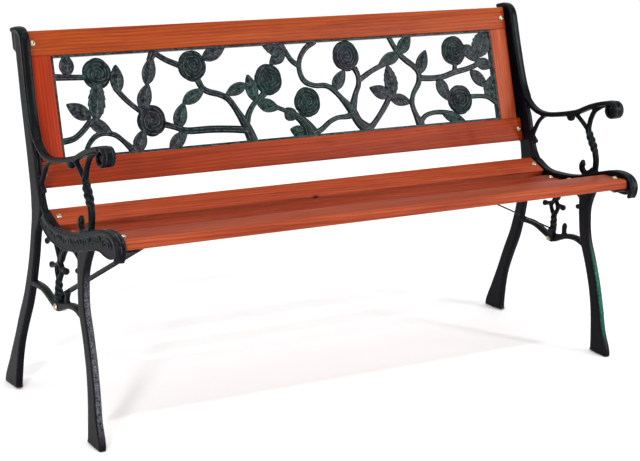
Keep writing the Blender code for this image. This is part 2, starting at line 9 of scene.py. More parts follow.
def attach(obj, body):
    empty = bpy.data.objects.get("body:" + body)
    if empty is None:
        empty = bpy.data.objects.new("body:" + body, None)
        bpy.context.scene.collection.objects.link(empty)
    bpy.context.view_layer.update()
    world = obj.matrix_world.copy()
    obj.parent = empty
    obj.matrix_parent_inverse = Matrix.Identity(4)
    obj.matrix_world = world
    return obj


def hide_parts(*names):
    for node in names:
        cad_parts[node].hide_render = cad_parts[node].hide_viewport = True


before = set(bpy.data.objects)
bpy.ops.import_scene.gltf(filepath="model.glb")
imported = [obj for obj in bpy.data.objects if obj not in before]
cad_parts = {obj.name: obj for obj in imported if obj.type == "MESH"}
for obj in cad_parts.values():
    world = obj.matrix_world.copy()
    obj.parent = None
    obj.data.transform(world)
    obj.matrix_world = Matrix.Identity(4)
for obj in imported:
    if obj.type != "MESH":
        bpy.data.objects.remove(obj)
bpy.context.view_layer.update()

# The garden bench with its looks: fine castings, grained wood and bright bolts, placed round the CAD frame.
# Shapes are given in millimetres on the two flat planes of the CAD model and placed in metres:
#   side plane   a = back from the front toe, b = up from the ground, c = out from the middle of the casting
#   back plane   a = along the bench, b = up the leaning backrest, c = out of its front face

MM = 0.001
SIGN = {"left": -1, "right": 1}

# End frames: distance of each from the middle, inward lean per height, and depth of the bench's middle
FRAME_X = 621.0
LEAN = 0.024
MID_DEPTH = 202.8
# Half thickness of the members of a casting, and the usual width of its rims
LEG_HALF = 7.5
SEAT_HALF = 9.5
LOOP_HALF = 6.5
ARM_HALF = 8.0
UPRIGHT_HALF = 10.0
STRETCHER_HALF = 7.2
RIM = 11.0
# Outer face of the seat plate
PLATE_OUT = 8.5
# The ledge under the slats and the flange behind the backrest: inner and outer faces, and thickness
LEDGE_IN = -42.0
LEDGE_OUT = 4.5
FLANGE_OUT = 5.0
LEDGE = 5.0
FLANGE = 4.0
# Clearance to the boards, and the lowest and highest points
GAP = 0.3
FOOT = 0.3
TOP = 729.2
# Size of the cells in which the casting's skin is built, in metres, and how often it is softened
SKIN_CELL = 0.0017
SKIN_PASSES = 3

# Backrest plane
BACK_Y = 340.0
BACK_Z = 482.0
BACK_LEAN = math.radians(18.2)
OPENING_HALF = 541.0
OPENING_TOP = 196.0
PANEL_RIM = 4.5
RAIL = 15.0
BACK_BOTTOM = -57.0
BACK_TOP = 251.0
ALONG = Vector((1, 0, 0))
BACK_UP = Vector((0, math.sin(BACK_LEAN), math.cos(BACK_LEAN)))
BACK_OUT = Vector((0, -math.cos(BACK_LEAN), math.sin(BACK_LEAN)))
BACK_ORIGIN = Vector((0, BACK_Y - MID_DEPTH, BACK_Z))
# Half length of the slats and bottom rail, and of the top rail, which the stiles reach to
SLAT_HALF = 600.5
RAIL_HALF = 591.0
# Middle of the grain in a stile, along and up the back plane
STILE_MIDDLE = (568, 100)

# Leaves as broad as this have a toothed edge, and each rose winds this many times round its heart
TOOTHED = 33
PETAL_TURNS = 4.4

# Board colours, from the front slat to the back one, then the backrest
SLAT_COLOURS = [(0.255, 0.042, 0.012), (0.215, 0.028, 0.009), (0.200, 0.024, 0.008),
                (0.230, 0.030, 0.009), (0.280, 0.044, 0.013)]
RAIL_COLOURS = {"top": (0.240, 0.036, 0.003), "bottom": (0.222, 0.023, 0.001)}
STILE_COLOURS = {"left": (0.285, 0.024, 0.001), "right": (0.285, 0.050, 0.013)}
# Place of the one knot, on the front edge of the back slat, in metres
KNOT = (-0.015, 0.039, 0.372)

# Slats: depth and height of the middle of the top, tilt in degrees, width, thickness
SLATS = [(6.0, 412.0, -4.0, 76.0, 20.0), (81.0, 392.0, -17.0, 52.0, 18.0),
         (142.0, 376.0, -12.0, 52.0, 18.0), (204.0, 367.0, 0.0, 52.0, 18.0),
         (266.0, 385.0, 22.0, 52.0, 18.0)]

# Side plane curves: depth, height, width
BACK_LEG = [(403.5, 0, 62), (403.5, 12, 58), (394.5, 50, 44), (381, 100, 31), (363.5, 150, 30),
            (343.5, 200, 30), (330.5, 250, 28), (322, 300, 27), (318, 345, 28), (312, 372, 38),
            (311, 400, 46), (324, 440, 38), (337, 480, 38), (352, 520, 35), (366, 560, 36),
            (380, 600, 36), (395, 650, 38), (410.5, 700, 39), (416, 717, 36)]
FRONT_LEG = [(28, 0, 57), (28, 12, 54), (37, 50, 40), (46, 100, 33), (59, 150, 30), (77, 200, 29),
             (98, 250, 29), (106, 300, 30), (106, 335, 36), (98, 382, 56)]
SEAT_RIM = [(-34, 374, 7), (-38, 385, 10), (-39, 398, RIM), (-34, 409, RIM), (-22, 417, RIM),
            (-4, 420, RIM), (20, 418, RIM), (50, 410, RIM), (80, 399, RIM), (110, 388, RIM),
            (140, 380, RIM), (170, 375, RIM), (200, 372, RIM), (228, 372, RIM), (252, 377, RIM),
            (274, 388, RIM)]
# Outer edge of the seat rim at each of its points: it widens round the nose
SEAT_OUT = [12.5, 12.5, 12.5, 12.5, 12, 11.5, 11, 10.5, 10] + 7 * [SEAT_HALF]
LOOP_BACK = [(228, 372, RIM), (252, 377, RIM), (274, 388, RIM), (290, 406, RIM), (301, 430, RIM),
             (310, 457, RIM), (319, 484, RIM), (330, 507, RIM), (341, 528, RIM)]
SEAT_PLATE = [(-33, 394, 26), (-15, 397, 44), (8, 398, 46), (30, 398, 40), (55, 393, 36), (80, 386, 36),
              (110, 376, 36), (140, 368, 36), (170, 363, 36), (200, 361, 35), (228, 361, 33),
              (248, 365, 31), (268, 374, 28), (282, 385, 22)]
ARM = [(48, 567, 9), (72, 560, 10), (100, 550, RIM), (125, 539, RIM), (150, 527, RIM), (175, 519, RIM),
       (200, 512, RIM), (225, 506, RIM), (245, 502, RIM), (265, 500, RIM), (288, 502, RIM),
       (310, 511, RIM), (328, 526, RIM), (342, 549, RIM), (352, 572, RIM)]
UPRIGHT_RIM = [(328, 526, RIM), (342, 549, RIM), (352, 572, RIM), (364, 604, RIM), (380, 652, RIM),
               (395, 700, RIM), (401, 713, RIM), (410, 721, RIM), (424, 724, RIM), (449, 719, 9)]
# Half the breadth of the arm at each of its points: it flares to its rolled end
ARM_OUT = np.array([13.5, 12.5, 10.5, 9.0] + 11 * [ARM_HALF])
# The arm's rolled end: centre and radius
ARM_SCROLL = (38, 553, 19.5)
# Outline of the hook on top of the upright
HOOK = [(398, 714), (414, 724), (434, 726), (450, 721), (438, 683), (423, 678), (404, 684)]
STRETCHER = [(98, 234, 13), (125, 241, 12), (145, 241, 12), (165, 237, 12), (185, 230, 14),
             (206, 224, 19), (225, 226, 14), (245, 232, 12), (268, 239, 12), (290, 241, 12),
             (330, 239, 12)]
# The turned knob under the arm: centre and radius
KNOB = (174, 511, 10)
# Ornaments: half thickness, then the curve
POST = (6.6, [(84, 392, 18), (83, 410, 14), (82, 428, 14), (86, 446, 14), (94, 461, 10), (105, 478, 10),
              (114, 494, 14)])
POST_FRONT_ARM = (5.9, [(114, 492, 13), (111, 508, 11), (107, 522, 11), (98, 538, 11), (82, 550, 11),
                        (70, 556, 10)])
POST_BACK_ARM = (5.6, [(114, 493, 11), (136, 508, 9), (158, 520, 9), (172, 522, 8)])
RAIL_BUD = (5.4, [(90, 408, 14), (102, 399, 13), (115, 396, 14), (125, 402, 15), (127, 412, 14),
                  (124, 420, 9)])
LOOP_BRACE = (5.2, [(238, 503, 7), (263, 495, 8), (281, 481, 9), (292, 463, 10), (301, 444, 10),
                    (307, 428, 6)])
FINIAL = (4.6, [(304, 444, 10), (293, 437, 9), (286, 430, 5)])
ROPE = (4.4, [(210, 232, 12), (210, 245, 9), (210, 262, 9), (210, 282, 12)])
# Round knobs at the ends of ornaments: centre and radius
KNOBS = [(181, 300, 7.0), (243, 298, 6.3), (131, 315, 6.0), (267, 339, 6.3), (171, 259, 6.2),
         (124, 414, 6.4), (288, 432, 5.5)]
TULIP_FRONT = (5.4, [(210, 276, 13), (201, 288, 9), (198, 300, 9), (209, 314, 12), (202, 328, 10),
                     (195, 350, 10)])
TULIP_BACK = (5.1, [(210, 276, 13), (219, 288, 9), (221, 300, 9), (210, 314, 12), (219, 330, 10),
                    (234, 350, 10)])
TULIP_BUD_FRONT = (4.8, [(199, 299, 13), (188, 301, 11), (178, 300, 6)])
TULIP_BUD_BACK = (4.7, [(219, 302, 11), (233, 299, 10), (245, 296, 12)])
ARCH = (5.7, [(112, 322, 9), (122, 337, 10), (140, 348, 10), (160, 351, 11), (178, 347, 10),
              (191, 334, 9), (200, 316, 8)])
LEG_BUD = (4.4, [(110, 316, 15), (125, 316, 13), (133, 315, 8)])
HANGING_BUD = (4.3, [(248, 353, 12), (260, 345, 11), (269, 337, 12)])
STRETCHER_BUD = (4.2, [(172, 234, 12), (172, 250, 13), (172, 258, 13), (171, 264, 7)])
ORNAMENTS = [POST, POST_FRONT_ARM, POST_BACK_ARM, RAIL_BUD, LOOP_BRACE, FINIAL, ROPE, TULIP_FRONT,
             TULIP_BACK, TULIP_BUD_FRONT, TULIP_BUD_BACK, ARCH, LEG_BUD, HANGING_BUD, STRETCHER_BUD]

# Rose panel, in the back plane. Roses: across, up, radius
ROSES = [(-449, 160, 32), (-340, 58, 33), (-232, 163, 33), (-54, 124, 34), (36, 70, 33), (148, 163, 34),
         (440, 159, 34), (441, 48, 34)]
# Stems: points of across, up, width
STEMS = [
    [(-543, 158, 14), (-515, 156, 12), (-478, 154, 11)],
    [(-543, 30, 13), (-518, 34, 12), (-498, 46, 12), (-474, 68, 13)],
    [(-499, -3, 9), (-486, 20, 10), (-470, 35, 11), (-450, 40, 10), (-426, 35, 11), (-408, 20, 11),
     (-386, -3, 18)],
    [(-414, 130, 12), (-398, 110, 12), (-380, 92, 11), (-360, 76, 11)],
    [(-330, 178, 13), (-316, 199, 20)],
    [(-318, 196, 12), (-292, 179, 12), (-258, 164, 13)],
    [(-312, 48, 13), (-288, 40, 12), (-262, 31, 14), (-210, 30, 15), (-165, 27, 15), (-118, 22, 16)],
    [(-224, 134, 15), (-215, 116, 14), (-200, 107, 13), (-176, 100, 13), (-156, 88, 14), (-139, 62, 15),
     (-122, 30, 22), (-110, -3, 26)],
    [(-120, 36, 16), (-112, 56, 14), (-98, 74, 12), (-84, 84, 12), (-68, 96, 16)],
    [(-112, 118, 7), (-94, 112, 8)],
    [(-46, 66, 10), (-26, 57, 10), (-6, 48, 14), (14, 34, 20), (28, 16, 30), (34, -3, 50)],
    [(-16, 199, 13), (-4, 180, 12), (8, 161, 12), (25, 148, 12)],
    [(72, 199, 14), (46, 184, 12), (29, 162, 12), (25, 138, 12), (34, 115, 13), (58, 104, 11),
     (86, 102, 12), (104, 92, 13), (122, 73, 13), (146, 44, 22), (160, 18, 22), (184, -3, 30)],
    [(40, 1, 12), (62, 9, 12), (84, 23, 11), (106, 31, 10), (130, 32, 12), (148, 36, 18)],
    [(166, 136, 15), (173, 118, 13), (171, 98, 13), (160, 78, 14), (147, 44, 22)],
    [(174, 108, 12), (196, 120, 12), (216, 129, 11), (246, 140, 12)],
    [(180, -2, 22), (196, 9, 14), (216, 28, 13), (236, 50, 14), (252, 72, 14)],
    [(266, 199, 13), (276, 179, 13), (286, 162, 13), (304, 145, 14), (324, 130, 14), (335, 114, 14),
     (331, 92, 14), (314, 70, 12), (307, 48, 13), (313, 24, 14), (324, -3, 24)],
    [(333, 104, 14), (362, 101, 13), (398, 102, 13), (432, 110, 13), (464, 115, 12), (490, 121, 12),
     (512, 130, 13), (530, 128, 13)],
    [(438, 128, 12), (434, 110, 13)],
    [(326, 8, 14), (340, 19, 11), (362, 24, 10), (388, 23, 11), (414, 18, 12)],
    [(470, 53, 11), (500, 52, 10), (522, 47, 11), (543, 32, 12)],
]
# Leaves: base, tip, width
LEAVES = [
    ((-513, 158), (-512, 203), 31), ((-407, 118), (-406, 176), 29), ((-463, 66), (-449, 150), 36),
    ((-474, 72), (-523, 104), 31), ((-480, 70), (-430, 36), 27), ((-382, -5), (-360, 42), 29),
    ((-360, 80), (-338, 134), 31), ((-342, 130), (-322, 188), 29), ((-284, 36), (-262, 90), 30),
    ((-264, 88), (-210, 114), 28), ((-306, -4), (-262, 32), 28), ((-206, 176), (-150, 198), 30),
    ((-110, 118), (-162, 98), 26), ((-92, 80), (-104, 138), 28), ((-88, 78), (-36, 60), 29),
    ((-2, 34), (-20, 62), 30), ((18, 4), (-15, 16), 26), ((-2, 184), (-60, 200), 36),
    ((-6, 180), (-46, 156), 28), ((106, 90), (140, 134), 28),
    ((290, 160), (232, 140), 28), ((261, 68), (254, 138), 33),
    ((252, 68), (200, 91), 30), ((250, 66), (306, 50), 27), ((288, 160), (324, 200), 30),
    ((336, 112), (361, 165), 29), ((386, 100), (408, 48), 30), ((388, 20), (448, -2), 24),
    ((466, 170), (510, 130), 30), ((506, 140), (532, 202), 46), ((498, 130), (546, 118), 28),
    ((480, 112), (522, 70), 28), ((524, 40), (544, 100), 40),
]


# Curves and closed shapes. A shape is its points, its faces, and how proud each point stands from 0 to 1,
# which the iron shows lighter, as wear of the paint and as a painted highlight.

def smooth(points, steps):
    """A Catmull-Rom curve through the rows of points."""
    points = np.array(points, float)
    padded = np.vstack([2 * points[0] - points[1], points, 2 * points[-1] - points[-2]])
    rows = []
    for p0, p1, p2, p3 in zip(padded, padded[1:], padded[2:], padded[3:]):
        for t in np.arange(steps) / steps:
            rows.append(0.5 * (2 * p1 + (p2 - p0) * t + (2 * p0 - 5 * p1 + 4 * p2 - p3) * t**2
                               + (3 * p1 - p0 - 3 * p2 + p3) * t**3))
    return np.vstack([rows, points[-1]])


def lofted(rings, proud=0.0):
    """A closed shape through rings of the same number of points."""
    count, last = len(rings[0]), len(rings) - 1
    points = [tuple(p) for ring in rings for p in ring]
    faces = [(i * count + j, i * count + (j + 1) % count, (i + 1) * count + (j + 1) % count,
              (i + 1) * count + j)
             for i in range(last) for j in range(count)]
    faces += [tuple(reversed(range(count))), tuple(range(last * count, last * count + count))]
    return points, faces, list(np.broadcast_to(proud, (last + 1, count)).ravel())


def rounded_section(width, depth, radius, crown):
    """Points round a bar with rounded edges, across it and in depth. Its edge faces stand out by crown."""
    radius = min(radius, 0.48 * width, 0.48 * depth)
    section = []
    for across, out, start in ((1, -1, -90), (1, 1, 0), (-1, 1, 90), (-1, -1, 180)):
        for degrees in (0, 30, 60, 90):
            angle = math.radians(start + degrees)
            section.append((across * (width / 2 - radius) + radius * math.cos(angle),
                            out * (depth / 2 - radius) + radius * math.sin(angle)))
    section.insert(12, (-width / 2 - crown, 0.0))
    section.insert(4, (width / 2 + crown, 0.0))
    return section


def sweep(points, low, high, radius=2.5, crown=0.0, domed=False, steps=4, proud=0.0):
    """A rounded bar along a flat curve of across, up and width.

    Each of low and high is one depth for the whole bar, or one at each point of the curve.
    """
    rows = smooth(points, steps)
    stations = np.arange(len(points))
    places = np.minimum(np.arange(len(rows)) / steps, len(points) - 1)
    low = np.interp(places, stations, np.broadcast_to(low, len(points)))
    high = np.interp(places, stations, np.broadcast_to(high, len(points)))
    along = np.gradient(rows[:, :2], axis=0)
    along /= np.linalg.norm(along, axis=1, keepdims=True)
    sizes = list(zip(rows, along, np.ones(len(rows)), low, high))
    if domed:
        for end, sign in ((0, -1), (-1, 1)):
            row, way = rows[end], along[end]
            caps = [(row + [*(sign * way * row[2] / 2 * math.sin(turn)), 0], way, math.cos(turn),
                     low[end], high[end]) for turn in (0.5, 0.95, 1.3)]
            sizes = caps[::-1] + sizes if end == 0 else sizes + caps
    rings = []
    for row, way, share, bottom, top in sizes:
        side = np.array([-way[1], way[0]])
        rings.append([(*(row[:2] + side * offset * share), (bottom + top) / 2 + depth * share)
                      for offset, depth in rounded_section(row[2], top - bottom, radius, crown)])
    return lofted(rings, proud)


def prism(outline, low, high):
    """A flat outline carried from depth low to high."""
    return lofted([[(*p, low) for p in outline], [(*p, high) for p in outline]])


def tube(path, radius, sides=8, proud=0.0):
    """A round tube through three-dimensional points. The radius is one number, or one at each point."""
    path = np.array(path, float)
    radii = np.broadcast_to(radius, len(path))
    along = np.gradient(path, axis=0)
    along /= np.linalg.norm(along, axis=1, keepdims=True)
    rings = []
    for point, way, size in zip(path, along, radii):
        side = np.cross(way, (0, 0, 1))
        side /= np.linalg.norm(side)
        up = np.cross(side, way)
        rings.append([point + size * (math.cos(turn) * side + math.sin(turn) * up)
                      for turn in np.arange(sides) * 2 * math.pi / sides])
    return lofted(rings, proud)


def turned(centre, profile, sides=32):
    """A turned shape about the depth axis through centre, from rows of radius and depth."""
    rings = [[(centre[0] + radius * math.cos(turn), centre[1] + radius * math.sin(turn), depth)
              for turn in np.arange(sides) * 2 * math.pi / sides] for radius, depth in profile]
    return lofted(rings)


def rope(points, size, turns, strands=3):
    """Strands wound round a flat curve of across and up, thinning into its ends.

    The rope is two times size wide.
    """
    rows = smooth(points, 10)
    along = np.gradient(rows, axis=0)
    along /= np.linalg.norm(along, axis=1, keepdims=True)
    across = np.column_stack([-along[:, 1], along[:, 0]])
    share = np.linspace(0, 1, len(rows))
    taper = 0.60 + 0.40 * np.sin(math.pi * share) ** 0.4
    shapes = []
    for strand in range(strands):
        turn = 2 * math.pi * (turns * share + strand / strands)
        flat = rows + across * (0.53 * size * taper * np.cos(turn))[:, None]
        path = np.column_stack([flat, 0.53 * size * taper * np.sin(turn)])
        shapes.append(tube(path, 0.47 * size * taper, 10, 0.12))
    return shapes


def ball(centre, radius, half):
    """A rounded knob that is 2 half deep."""
    return turned(centre, [(max(0.05, math.cos(turn)) * radius, math.sin(turn) * half)
                           for turn in np.linspace(-math.pi / 2, math.pi / 2, 13)], 24)


def joined(shapes):
    """Several shapes as one."""
    points, faces, proud = [], [], []
    for more_points, more_faces, more_proud in shapes:
        start = len(points)
        points += more_points
        faces += [tuple(start + i for i in face) for face in more_faces]
        proud += more_proud
    return points, faces, proud


def axes(origin, a_axis, b_axis, c_axis):
    """The matrix from millimetres along three axes at an origin to metres in the world."""
    columns = [(*axis, 0) for axis in (a_axis, b_axis, c_axis)]
    return Matrix.Scale(MM, 4) @ Matrix([*columns, (*origin, 1)]).transposed()


def piece(name, shapes, matrix, sharp=35.0):
    """An object of the shapes, placed by matrix, riding on the bench."""
    mesh = bpy.data.meshes.new(name)
    points, faces, proud = joined(shapes)
    mesh.from_pydata([tuple(p) for p in points], [], faces)
    mesh.attributes.new("proud", "FLOAT", "POINT").data.foreach_set("value", proud)
    mesh.transform(matrix)
    shape = bmesh.new()
    shape.from_mesh(mesh)
    bmesh.ops.recalc_face_normals(shape, faces=shape.faces)
    shape.to_mesh(mesh)
    shape.free()
    mesh.shade_smooth()
    mesh.set_sharp_from_angle(angle=math.radians(sharp))
    body = bpy.data.objects.new(name, mesh)
    bpy.context.scene.collection.objects.link(body)
    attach(body, "root")
    return body


# Materials

def ramp(nodes, stops):
    node = nodes.new("ShaderNodeValToRGB")
    elements = node.color_ramp.elements
    while len(elements) < len(stops):
        elements.new(0.5)
    for element, (position, colour) in zip(elements, stops):
        element.position = position
        element.color = (*colour, 1)
    return node


def through(nodes, links, value, stops):
    """The colour that a value gives on a ramp."""
    node = ramp(nodes, stops)
    links.new(value, node.inputs["Fac"])
    return node.outputs["Color"]


def noise(nodes, links, vector, scale, detail, roughness=0.55, distortion=0.0):
    node = nodes.new("ShaderNodeTexNoise")
    node.inputs["Scale"].default_value = scale
    node.inputs["Detail"].default_value = detail
    node.inputs["Roughness"].default_value = roughness
    node.inputs["Distortion"].default_value = distortion
    links.new(vector, node.inputs["Vector"])
    return node.outputs["Fac"]


def place_vector(nodes, links, size=(1, 1, 1), shift=(0, 0, 0), turn=(0, 0, 0)):
    """Object coordinates seen from shift, along axes turned by turn, in units of size."""
    place = nodes.new("ShaderNodeTexCoord")
    mapping = nodes.new("ShaderNodeMapping")
    mapping.vector_type = "TEXTURE"
    mapping.inputs["Location"].default_value = shift
    mapping.inputs["Rotation"].default_value = turn
    mapping.inputs["Scale"].default_value = size
    links.new(place.outputs["Object"], mapping.inputs["Vector"])
    return mapping.outputs["Vector"]


def blended(nodes, links, share, first, second, mode="MIX"):
    """A colour mix. share, first and second are sockets or values."""
    node = nodes.new("ShaderNodeMix")
    node.data_type = "RGBA"
    node.blend_type = mode
    for socket, value in ((node.inputs[0], share), (node.inputs[6], first), (node.inputs[7], second)):
        if isinstance(value, bpy.types.NodeSocket):
            links.new(value, socket)
        else:
            socket.default_value = value if isinstance(value, float) else (*value, 1)
    return node.outputs[2]


def remapped(nodes, links, value, low, high, new_low=0.0, new_high=1.0):
    node = nodes.new("ShaderNodeMapRange")
    for name, number in (("From Min", low), ("From Max", high), ("To Min", new_low), ("To Max", new_high)):
        node.inputs[name].default_value = number
    links.new(value, node.inputs["Value"])
    return node.outputs["Result"]


def maths(nodes, links, operation, first, second):
    node = nodes.new("ShaderNodeMath")
    node.operation = operation
    for socket, value in zip(node.inputs, (first, second)):
        if isinstance(value, bpy.types.NodeSocket):
            links.new(value, socket)
        else:
            socket.default_value = value
    return node.outputs["Value"]


def bumped(nodes, links, height, strength, distance, below=None):
    node = nodes.new("ShaderNodeBump")
    node.inputs["Strength"].default_value = strength
    node.inputs["Distance"].default_value = distance
    links.new(height, node.inputs["Height"])
    if below is not None:
        links.new(below, node.inputs["Normal"])
    return node.outputs["Normal"]


def new_material(name):
    material = bpy.data.materials.new(name)
    material.use_nodes = True
    nodes, links = material.node_tree.nodes, material.node_tree.links
    return material, nodes, links, nodes["Principled BSDF"]


def growth_rings(nodes, links, shift, turn, seed):
    """The yearly rings of a log whose heart runs beside the board and slightly askew to it."""
    wave = nodes.new("ShaderNodeTexWave")
    wave.wave_type = "RINGS"
    wave.rings_direction = "X"
    for socket, number in (("Scale", 48.0), ("Distortion", 7.0), ("Detail", 3.0), ("Detail Scale", 0.055),
                           ("Detail Roughness", 0.55)):
        wave.inputs[socket].default_value = number
    heart = (shift[0], shift[1] + 0.05 * math.cos(seed), shift[2] + 0.06)
    askew = (turn[0], turn[1] + 0.018 * math.sin(2 * seed), turn[2] + 0.015 * math.cos(3 * seed))
    links.new(place_vector(nodes, links, (1, 1, 1), heart, askew), wave.inputs["Vector"])
    return wave.outputs["Fac"]


def knot_share(nodes, links, place):
    """0 at a small knot and 1 away from it."""
    gap = nodes.new("ShaderNodeVectorMath")
    gap.operation = "LENGTH"
    links.new(place_vector(nodes, links, (0.011, 0.006, 0.006), place), gap.inputs[0])
    return remapped(nodes, links, gap.outputs["Value"], 0.35, 1.1)


def wood(name, colour, seed, middle, turn=(0, 0, 0), knot=None):
    """Varnished hardwood round middle, with its grain along X, or along the way that turn brings X to."""
    material, nodes, links, shader = new_material(name)
    shift = (middle[0] + 3 * math.sin(seed), middle[1], middle[2])
    along_streaks = place_vector(nodes, links, (0.30, 0.008, 0.008), shift, turn)
    streaks = noise(nodes, links, along_streaks, 1.0, 5, 0.62, 0.3)
    along_fibres = place_vector(nodes, links, (0.05, 0.0011, 0.0011), shift, turn)
    fibres = noise(nodes, links, along_fibres, 1.0, 3, 0.6)
    along_bands = place_vector(nodes, links, (0.45, 0.05, 0.05), shift, turn)
    broad = noise(nodes, links, along_bands, 1.0, 3, 0.5, 0.5)
    rings = growth_rings(nodes, links, shift, turn, seed)
    tint = through(nodes, links, streaks, [(0.28, (0.66, 0.52, 0.48)), (0.47, (0.94, 0.90, 0.88)),
                                           (0.66, (1.12, 1.22, 1.25))])
    base = blended(nodes, links, 1.0, colour, tint, "MULTIPLY")
    late = through(nodes, links, rings, [(0.0, (1.04, 1.05, 1.06)), (0.62, (1.0, 1.0, 1.0)),
                                         (0.95, (0.74, 0.62, 0.58))])
    base = blended(nodes, links, 0.75, base, late, "MULTIPLY")
    shade = through(nodes, links, broad, [(0.32, (0.80, 0.68, 0.64)), (0.52, (1.0, 1.0, 1.0)),
                                          (0.70, (1.12, 1.25, 1.25))])
    base = blended(nodes, links, 0.8, base, shade, "MULTIPLY")
    pores = through(nodes, links, fibres, [(0.34, (0.62, 0.50, 0.46)), (0.50, (1.0, 1.0, 1.0))])
    base = blended(nodes, links, 0.55, base, pores, "MULTIPLY")
    if knot:
        base = blended(nodes, links, knot_share(nodes, links, knot), (0.035, 0.006, 0.003), base)
    links.new(base, shader.inputs["Base Color"])
    links.new(remapped(nodes, links, fibres, 0.3, 0.7, 0.50, 0.36), shader.inputs["Roughness"])
    shader.inputs["Specular IOR Level"].default_value = 0.10
    normal = bumped(nodes, links, streaks, 0.20, 0.0005)
    normal = bumped(nodes, links, fibres, 0.30, 0.00015, normal)
    links.new(normal, shader.inputs["Normal"])
    return material


def front_painted_highlight(nodes, links, low, high):
    """How much painted highlight, in small flecks, a face of the front leg takes: only where it looks
    forward, between two heights.
    """
    facing = nodes.new("ShaderNodeSeparateXYZ")
    here = nodes.new("ShaderNodeSeparateXYZ")
    place = nodes.new("ShaderNodeTexCoord")
    links.new(place.outputs["Normal"], facing.inputs["Vector"])
    links.new(place.outputs["Object"], here.inputs["Vector"])
    forward = remapped(nodes, links, facing.outputs["Y"], -0.70, -0.93)
    on_leg = remapped(nodes, links, here.outputs["Y"], -0.06, -0.08)
    above = remapped(nodes, links, here.outputs["Z"], low, low + 0.05)
    below = remapped(nodes, links, here.outputs["Z"], high, high - 0.06)
    grain = noise(nodes, links, place_vector(nodes, links), 520, 2, 0.7)
    share = maths(nodes, links, "MULTIPLY", above, below)
    share = maths(nodes, links, "MULTIPLY", share, maths(nodes, links, "MULTIPLY", on_leg, forward))
    return maths(nodes, links, "MULTIPLY", share, remapped(nodes, links, grain, 0.47, 0.60))


def iron(name, patina_and_highlight_share, highlight_colour, highlight_heights):
    """Black painted casting, sandy under the paint, green-grey where it is proud or sharp as wear of the
    paint and a painted highlight, with a flecked painted highlight on the front leg's forward faces.
    """
    material, nodes, links, shader = new_material(name)
    here = place_vector(nodes, links)
    cloud = noise(nodes, links, here, 9, 4, 0.6, 0.4)
    mottle = noise(nodes, links, here, 120, 4, 0.65)
    sand = noise(nodes, links, here, 620, 3, 0.65)
    geometry = nodes.new("ShaderNodeNewGeometry")
    attribute = nodes.new("ShaderNodeAttribute")
    attribute.attribute_name = "proud"
    # Sharp edges and proud points take the green-grey colour: partly wear of the paint, partly a painted
    # highlight along edges and ridges.
    edges = remapped(nodes, links, geometry.outputs["Pointiness"], 0.515, 0.62, 0.0, 0.38)
    wear_and_highlight = maths(nodes, links, "MAXIMUM", edges, attribute.outputs["Fac"])
    broken = remapped(nodes, links, mottle, 0.36, 0.62)
    wear_and_highlight = maths(nodes, links, "MULTIPLY", wear_and_highlight, maths(nodes, links, "MULTIPLY", broken, patina_and_highlight_share))
    base = through(nodes, links, cloud, [(0.38, (0.0040, 0.0032, 0.0056)), (0.50, (0.0024, 0.0024, 0.0034)),
                                         (0.66, (0.0026, 0.0052, 0.0056))])
    green = through(nodes, links, cloud, [(0.36, (0.165, 0.175, 0.200)), (0.50, (0.125, 0.175, 0.180)),
                                          (0.66, (0.085, 0.205, 0.180))])
    base = blended(nodes, links, wear_and_highlight, base, green)
    # Painted highlight: a pale fleck pattern on the forward faces of the front leg, standing in for light
    # from the front.
    base = blended(nodes, links, front_painted_highlight(nodes, links, *highlight_heights), base, highlight_colour)
    links.new(base, shader.inputs["Base Color"])
    links.new(remapped(nodes, links, mottle, 0.3, 0.7, 0.18, 0.32), shader.inputs["Roughness"])
    shader.inputs["Specular IOR Level"].default_value = 0.06
    normal = bumped(nodes, links, mottle, 0.40, 0.0006)
    normal = bumped(nodes, links, sand, 0.40, 0.0002, normal)
    links.new(normal, shader.inputs["Normal"])
    return material


def steel(name):
    """Yellowish zinc plate with fine scratches and slight tarnish."""
    material, nodes, links, shader = new_material(name)
    tarnish = noise(nodes, links, place_vector(nodes, links), 260, 4)
    scratch = noise(nodes, links, place_vector(nodes, links, (0.0011, 0.016, 0.0011)), 1.0, 3)
    links.new(through(nodes, links, tarnish, [(0.35, (0.30, 0.24, 0.16)), (0.6, (0.56, 0.48, 0.36))]),
              shader.inputs["Base Color"])
    links.new(remapped(nodes, links, scratch, 0.3, 0.7, 0.24, 0.42), shader.inputs["Roughness"])
    shader.inputs["Metallic"].default_value = 1.0
    links.new(bumped(nodes, links, scratch, 0.1, 0.0001), shader.inputs["Normal"])
    return material


# End frames

def ledge():
    """The strip of the casting that follows the slats from below."""
    top, bottom = [], []
    for depth, height, tilt, width, thick in SLATS:
        angle = math.radians(tilt)
        for share in (-width / 2, width / 2):
            for line, drop in ((top, thick + GAP), (bottom, thick + GAP + LEDGE)):
                line.append((depth + share * math.cos(angle) + drop * math.sin(angle),
                             height + share * math.sin(angle) - drop * math.cos(angle)))
    return prism(top + bottom[::-1], LEDGE_IN, LEDGE_OUT)


def flange():
    """The strip of the casting behind the ends of the backrest."""
    corners = []
    for up, out in ((BACK_BOTTOM, 0), (BACK_TOP, 0), (BACK_TOP, -FLANGE), (BACK_BOTTOM, -FLANGE)):
        point = BACK_ORIGIN + BACK_UP * up + BACK_OUT * (out - RAIL - GAP)
        corners.append((point.y + MID_DEPTH, point.z))
    return prism(corners, LEDGE_IN, FLANGE_OUT)


